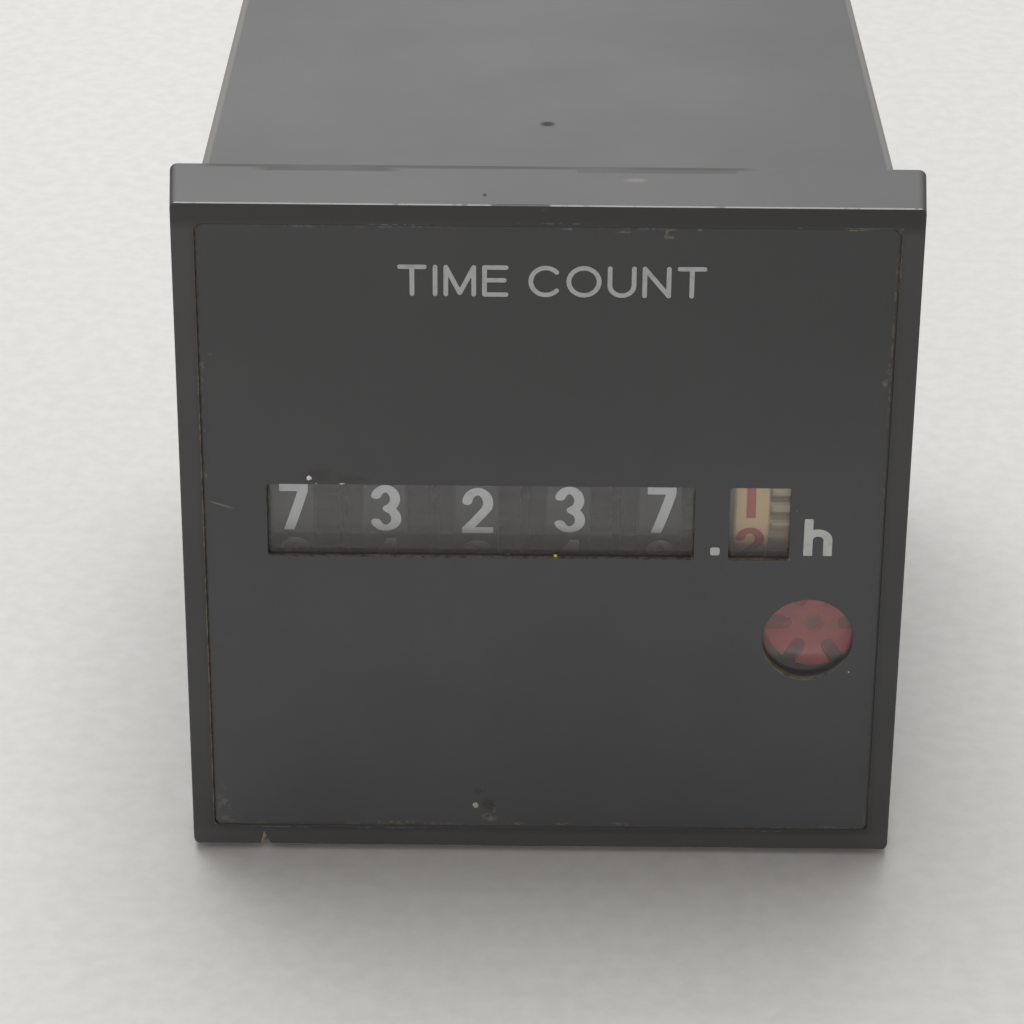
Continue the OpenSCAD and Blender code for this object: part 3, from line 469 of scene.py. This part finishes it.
def crossings(field):
    """Pairs of cell edges that the zero line of a field joins, each edge as two grid points."""
    inside = field < 0
    mixed = sum(inside[i:i - 1 or None, j:j - 1 or None].astype(int) for i in (0, 1) for j in (0, 1))
    for i, j in np.argwhere((mixed > 0) & (mixed < 4)):
        ring = [(i, j), (i + 1, j), (i + 1, j + 1), (i, j + 1)]
        cut = [(p, q) if p < q else (q, p) for p, q in zip(ring, ring[1:] + ring[:1]) if inside[p] != inside[q]]
        if len(cut) == 4 and (sum(field[p] for p in ring) < 0) == inside[ring[0]]:
            cut = cut[1:] + cut[:1]
        yield from zip(cut[::2], cut[1::2])


def thin_out(points, slack):
    """The points of a line that keep it within slack of its old path."""
    if len(points) < 3:
        return points
    a, b = np.array(points[0]), np.array(points[-1])
    along = (b - a) / max(np.hypot(*(b - a)), 1e-9)
    off = [abs(along[0] * (p[1] - a[1]) - along[1] * (p[0] - a[0])) for p in points]
    far = int(np.argmax(off))
    if off[far] < slack:
        return [points[0], points[-1]]
    return thin_out(points[:far + 1], slack)[:-1] + thin_out(points[far:], slack)


def strokes(lines, pen, box, pitch=0.04):
    """Closed outlines of lines drawn with an oval pen, trimmed to a box x0, x1, z0, z1 in millimetres."""
    x0, x1, z0, z1 = box
    xs = np.arange(x0 - 2 * pitch, x1 + 3 * pitch, pitch)
    zs = np.arange(z0 - 2 * pitch, z1 + 3 * pitch, pitch)
    gx, gz = np.meshgrid(xs / pen[0], zs / pen[1], indexing="ij")
    field = np.full(gx.shape, 9.0)
    for line in lines:
        points = [(px / pen[0], pz / pen[1]) for px, pz in line]
        for (ax, az), (bx, bz) in zip(points, points[1:]):
            dx, dz = bx - ax, bz - az
            t = np.clip(((gx - ax) * dx + (gz - az) * dz) / (dx * dx + dz * dz), 0, 1)
            field = np.minimum(field, np.hypot(gx - ax - t * dx, gz - az - t * dz) - 1)
    for edge in (x0 / pen[0] - gx, gx - x1 / pen[0], z0 / pen[1] - gz, gz - z1 / pen[1]):
        field = np.maximum(field, edge)
    joined = {}
    for a, b in crossings(field):
        joined.setdefault(a, []).append(b)
        joined.setdefault(b, []).append(a)
    loops = []
    while joined:
        here = next(iter(joined))
        loop = []
        while here in joined:
            ends = joined.pop(here)
            (i, j), (k, l) = here
            t = field[i, j] / (field[i, j] - field[k, l])
            loop.append((xs[i] + t * (xs[k] - xs[i]), zs[j] + t * (zs[l] - zs[j])))
            here = next((e for e in ends if e in joined), None)
        half = len(loop) // 2
        first, second = loop[:half + 1], loop[half:] + loop[:1]
        loops.append(thin_out(first, OUTLINE_SLACK)[:-1] + thin_out(second, OUTLINE_SLACK)[:-1])
    return loops


def filled(loops):
    """A flat bmesh in x and y, filled inside the loops."""
    bm = bmesh.new()
    for loop in loops:
        verts = [bm.verts.new((px, pz, 0)) for px, pz in loop]
        for a, b in zip(verts, verts[1:] + verts[:1]):
            bm.edges.new((a, b))
    bmesh.ops.triangle_fill(bm, edges=bm.edges[:], use_beauty=True)
    return bm


def thicken(bm, low, high):
    """Turns flat lettering into a closed layer from low to high along z."""
    for v in bm.verts:
        v.co.z = low
    up = bmesh.ops.extrude_face_region(bm, geom=bm.faces[:] + bm.edges[:])
    for v in up["geom"]:
        if isinstance(v, bmesh.types.BMVert):
            v.co.z = high


def lay_on_plate(bm):
    """Turns flat work, with its height along z, to the face of the front plate."""
    for v in bm.verts:
        v.co = Vector((v.co.x, PLATE_Y - v.co.z, v.co.y)) * MM


def plate_print(name, loops, material=LABEL_INK):
    """Lettering on the front plate, from outlines in x and z."""
    bm = filled(loops)
    thicken(bm, *PLATE_LAYER)
    lay_on_plate(bm)
    add_mesh(name, bm, material, "case")


# Digits as half widths and centre lines of an oval pen, in millimetres round their middle
DIGIT_HALF_H = 1.7
DIGIT_PEN = (0.33, 0.25)
SIX = [arc(0, -0.55, 0.69, 0.9, 0, 360), arc(0.04, 0.0, 0.73, 1.45, 195, 38)]
DIGITS = [
    (1.02, [arc(0, 0, 0.69, 1.45, 0, 360)]),
    (1.02, [[(0, -2), (0, 2)]]),
    (1.02, [arc(0, 0.66, 0.69, 0.79, 172, -32) + [(-0.66, -1.3)], [(-1.3, -1.45), (1.3, -1.45)]]),
    (1.02, [arc(-0.02, 0.75, 0.64, 0.7, 160, -76), arc(0, -0.7, 0.69, 0.75, 76, -160)]),
    (1.02, [[(0.3, 1.45), (-0.74, -0.5), (-0.74, -0.68), (1.2, -0.68)], [(0.34, 1.6), (0.34, -2)]]),
    (1.02, [[(0.62, 1.45), (-0.48, 1.45), (-0.58, 0.0)] + arc(0, -0.5, 0.69, 0.95, 140, -158)]),
    (1.02, SIX),
    (0.94, [[(-1.2, 1.45), (1.2, 1.45)], [(0.63, 1.45), (0.6, 1.2), (-0.44, -2)]]),
    (1.02, [arc(0, 0.74, 0.6, 0.71, 0, 360), arc(0, -0.69, 0.69, 0.76, 0, 360)]),
    (1.02, [[(-px, -pz) for px, pz in line] for line in SIX]),
]
OUTLINES = [strokes(lines, DIGIT_PEN, (-half, half, -DIGIT_HALF_H, DIGIT_HALF_H)) for half, lines in DIGITS]


def number_ring(name, body, place, shown, turn, shift, width, material):
    """The ten digits printed round one wheel, with the shown digit turned up from the front by turn degrees."""
    ring = bmesh.new()
    for value, loops in enumerate(OUTLINES):
        bm = filled(loops)
        for row in np.linspace(-DIGIT_HALF_H, DIGIT_HALF_H, 9)[1:-1]:
            bmesh.ops.bisect_plane(
                bm, geom=bm.verts[:] + bm.edges[:] + bm.faces[:], plane_co=(0, row, 0), plane_no=(0, 1, 0),
            )
        thicken(bm, *WHEEL_LAYER)
        centre = math.radians(turn - DIGIT_STEP * ((value - shown + 5) % 10 - 5))
        for v in bm.verts:
            a, r = centre + v.co.y / WHEEL_R, WHEEL_R + v.co.z
            x = WHEEL_X[place] + shift + v.co.x * width
            v.co = Vector((x, WHEEL_Y - r * math.cos(a), WHEEL_Z + r * math.sin(a))) * MM
        mesh = bpy.data.meshes.new("digit")
        bm.to_mesh(mesh)
        bm.free()
        ring.from_mesh(mesh)
        bpy.data.meshes.remove(mesh)
    add_mesh(name, ring, material, body)


number_ring("tenths_digits", "tenths_wheel", 0, 1, 11.3, -0.09, 0.93, RED_INK)
for k, shown, turn in ((1, 7, 0.3), (2, 3, 0.0), (3, 2, -1.2), (4, 3, 0.0), (5, 7, 0.3)):
    number_ring(f"wheel_{k}_digits", f"number_wheel_{k}", k, shown, turn, 0.08, 1.0, WHITE_INK)

# Letters as centre lines one unit high, each with its width
LETTERS = {
    "T": (0.78, [[(0, 1), (0.78, 1)], [(0.39, 1), (0.39, 0)]]),
    "I": (0.0, [[(0, 0), (0, 1)]]),
    "M": (0.88, [[(0, 0), (0, 1), (0.44, 0.05), (0.88, 1), (0.88, 0)]]),
    "E": (0.68, [[(0.68, 1), (0, 1), (0, 0), (0.68, 0)], [(0, 0.53), (0.62, 0.53)]]),
    "C": (0.86, [arc(0.47, 0.5, 0.47, 0.5, 42, 318)]),
    "O": (0.96, [arc(0.48, 0.5, 0.48, 0.5, 0, 360)]),
    "U": (0.76, [[(0, 1)] + arc(0.38, 0.37, 0.38, 0.37, 180, 360) + [(0.76, 1)]]),
    "N": (0.76, [[(0, 0), (0, 1), (0.76, 0), (0.76, 1)]]),
    " ": (0.1, []),
}


def title_print(words, x0, x1, z0, z1, pen):
    """A line of letters that fills a box on the plate."""
    gap = 0.34
    total = sum(LETTERS[c][0] for c in words) + gap * (len(words) - 1)
    across, high = (x1 - x0 - 2 * pen) / total, z1 - z0 - 2 * pen
    loops, at = [], x0 + pen
    for c in words:
        width, lines = LETTERS[c]
        lines = [[(at + px * across, z0 + pen + pz * high) for px, pz in line] for line in lines]
        if lines:
            loops += strokes(lines, (pen, pen), (at - pen, at + width * across + pen, z0, z1))
        at += (width + gap) * across
    plate_print("title_print", loops, TITLE_INK)


title_print("TIME COUNT", -9.42, 10.04, 17.23, 19.38, 0.15)
plate_print("unit_print", strokes(
    [[(17.21, -0.98), (17.21, 1.5)], arc(17.85, 0.1, 0.64, 0.54, 180, 0) + [(18.49, -0.98)]],
    (0.29, 0.26), (16.92, 18.78, -1.05, 1.65),
))
plate_print("point_print", strokes([[(11.14, -0.79), (11.17, -0.79)]], (0.35, 0.34), (10.85, 11.46, -1.08, -0.5)))


def square_loop(half, r):
    """A square outline with round corners."""
    corners = ((1, 1, 0), (-1, 1, 90), (-1, -1, 180), (1, -1, 270))
    return [p for sx, sz, a in corners for p in arc(sx * (half - r), sz * (half - r), r, r, a, a + 90)]


def groove_dust():
    """Dust that fills the groove round the plate, brown in patches."""
    s = Shader("groove_dust", 0.8)
    x = s.axes()[0]
    patches = s.either(s.step(s.noise(6.0), 0.48, 0.66), s.step(x, -21.0, -21.8))
    brown = s.times(patches, s.step(s.noise(0.5, 3.0), 0.46, 0.62))
    s.colour(s.mix(s.times(brown, 0.6), s.mix(s.noise(2.0), srgb("#3c3b3a"), srgb("#484643")), srgb("#6a5f53")))
    s.bump(s.noise(0.1, 2.0), 0.01)
    bm = filled([square_loop(PLATE_HALF + 0.09, 0.5), square_loop(PLATE_HALF + 0.01, 0.5)])
    thicken(bm, *GROOVE_LAYER)
    lay_on_plate(bm)
    add_mesh("groove_dust", bm, s.mat, "case")


groove_dust()


def crumb(name, place, size, code, seed):
    """A small irregular grain of dirt that sits on the front; size in millimetres along x, y and z."""
    bm = bmesh.new()
    bmesh.ops.create_icosphere(bm, subdivisions=2, radius=1)
    for v in bm.verts:
        rough = 0.75 + 0.5 * noise.noise(v.co * 1.7 + Vector((seed, seed * 0.37, 0)))
        v.co = Vector([place[i] + v.co[i] * size[i] * rough for i in range(3)]) * MM
    s = Shader(name, 0.7)
    light = srgb(code)
    s.colour(s.mix(s.step(s.noise(0.15), 0.35, 0.65), [c * 0.55 for c in light[:3]] + [1.0], light))
    s.bump(s.noise(0.05, 2.0), 0.004)
    add_mesh(name, bm, s.mat, "case")


CRUMBS = [
    ((-15.23, PLATE_Y, 4.3), (0.24, 0.1, 0.2), "#f2f0ea"),
    ((-14.79, PLATE_Y, 3.92), (0.07, 0.05, 0.06), "#a8a298"),
    ((-13.11, PLATE_Y, 3.9), (0.28, 0.05, 0.06), "#dcd7cb"),
    ((-4.39, PLATE_Y, -20.42), (0.28, 0.1, 0.27), "#a9a8a3"),
    ((0.77, PLATE_Y + 0.3, SILL_Z + 0.06), (0.15, 0.12, 0.18), "#f0d24a"),
    ((-2.34, PLATE_Y + 0.5, SILL_Z + 0.03), (0.12, 0.1, 0.08), "#8a6a55"),
    ((16.05, PLATE_Y, -1.35), (0.06, 0.05, 0.06), "#a09788"),
    ((16.38, PLATE_Y, 2.23), (0.07, 0.04, 0.07), "#77726a"),
    ((20.31, PLATE_Y, -9.76), (0.08, 0.06, 0.08), "#b9b09c"),
]
for number, (place, size, code) in enumerate(CRUMBS, 1):
    crumb(f"dirt_{number}", place, size, code, number)

# Floor, light and camera
FLOOR_HALF = 3
low = -BEZEL_HALF * MM
floor_mesh = bpy.data.meshes.new("floor")
floor_corners = [(FLOOR_HALF * a, FLOOR_HALF * b, low) for a, b in ((-1, -1), (1, -1), (1, 1), (-1, 1))]
floor_mesh.from_pydata(floor_corners, [], [(0, 1, 2, 3)])
floor = bpy.data.objects.new("floor", floor_mesh)
scene.collection.objects.link(floor)
ground = Shader("floor_pale", 0.7, specular=0.2)
ground.colour(ground.mix(ground.step(ground.noise(1.5, 4.0, 0.6), 0.3, 0.7), srgb("#dededc"), srgb("#e4e4e3")))
floor_mesh.materials.append(ground.mat)

world = bpy.data.worlds.new("studio")
scene.world = world
world.use_nodes = True
sky = world.node_tree.nodes["Background"]
sky.inputs["Color"].default_value = (1.0, 0.955, 0.9, 1.0)
sky.inputs["Strength"].default_value = 0.33


def softbox(name, place, target, size, power, colour):
    lamp = bpy.data.lights.new(name, "AREA")
    lamp.shape, lamp.size, lamp.energy, lamp.color = "SQUARE", size, power, colour
    obj = bpy.data.objects.new(name, lamp)
    obj.location = place
    obj.rotation_euler = (Vector(target) - Vector(place)).to_track_quat("-Z", "Y").to_euler()
    scene.collection.objects.link(obj)


softbox("key_above", (-0.04, 0.235, 0.62), (0, 0, 0), 0.47, 3.55, (1, 1, 1))
softbox("fill_front", (-0.15, -0.72, 0.1), (0, 0, 0), 0.22, 1.78, (1, 0.965, 0.915))

PICTURE_PX, SENSOR_MM = 1024, 36
AZIMUTH, ELEVATION, ROLL = (math.radians(v) for v in (0.266, 27.401, 0.417))
SHIFT_X, SHIFT_Y, DISTANCE, FOCUS_PX = 2.084, -1.8525, 238.46, 3662.937
back = Vector((math.sin(AZIMUTH) * math.cos(ELEVATION), -math.cos(AZIMUTH) * math.cos(ELEVATION), math.sin(ELEVATION)))
right = Vector((math.cos(AZIMUTH), math.sin(AZIMUTH), 0))
up = back.cross(right)
turned_right = right * math.cos(ROLL) + up * math.sin(ROLL)
turned_up = up * math.cos(ROLL) - right * math.sin(ROLL)
eye = Vector((0, FRONT_Y, 0)) - turned_right * SHIFT_X - turned_up * SHIFT_Y + back * DISTANCE
camera = bpy.data.objects.new("camera", bpy.data.cameras.new("camera"))
camera.data.sensor_width = SENSOR_MM
camera.data.lens = FOCUS_PX / PICTURE_PX * SENSOR_MM
camera.data.clip_start, camera.data.clip_end = 0.01, 20
camera.matrix_world = Matrix.Translation(eye * MM) @ Matrix((turned_right, turned_up, back)).transposed().to_4x4()
scene.collection.objects.link(camera)
scene.camera = camera
scene.view_settings.view_transform = "Standard"
